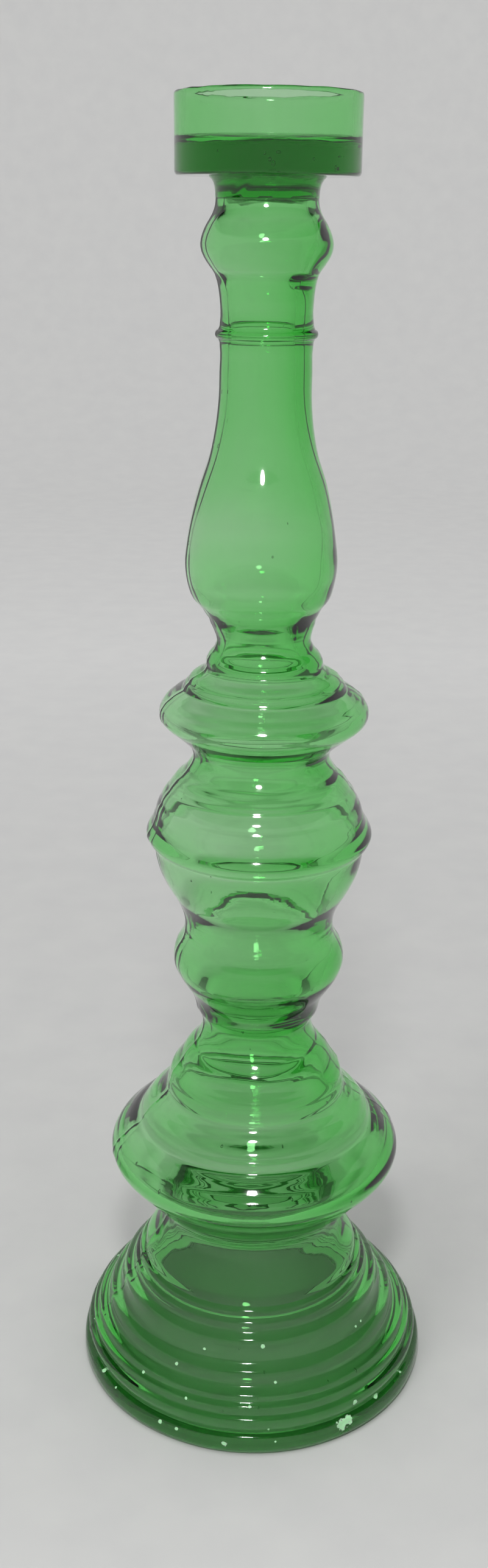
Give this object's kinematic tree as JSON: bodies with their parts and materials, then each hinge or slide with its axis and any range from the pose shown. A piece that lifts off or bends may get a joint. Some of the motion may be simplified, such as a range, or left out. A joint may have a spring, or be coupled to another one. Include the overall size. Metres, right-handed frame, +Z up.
{
  "type": "candlestick",
  "caption": "Tall hollow glass candlestick with a tiered open foot, a saucer, bulb and disc knops, a baluster stem with a collar, and an open candle cup joined on top.",
  "frame": {"origin": "middle of the foot's ground rim, on the table", "axes": "+Z up along the stem's axis, out of the candle cup's mouth; X and Y are any two directions across, as the part is round"},
  "size_m": [0.116, 0.116, 0.4],
  "materials": {
    "blown_glass": "clear mid-green soda-lime glass, fire-polished, thin blown wall",
    "thick_glass": "the same green glass, solid, so it reads darker",
    "pressed_glass": "the same green glass, pressed, with a thick dark floor"
  },
  "bodies": {
    "root": {"blown_body": "blown_glass", "joining_button": "thick_glass", "candle_cup": "pressed_glass"}
  },
  "joints": []
}
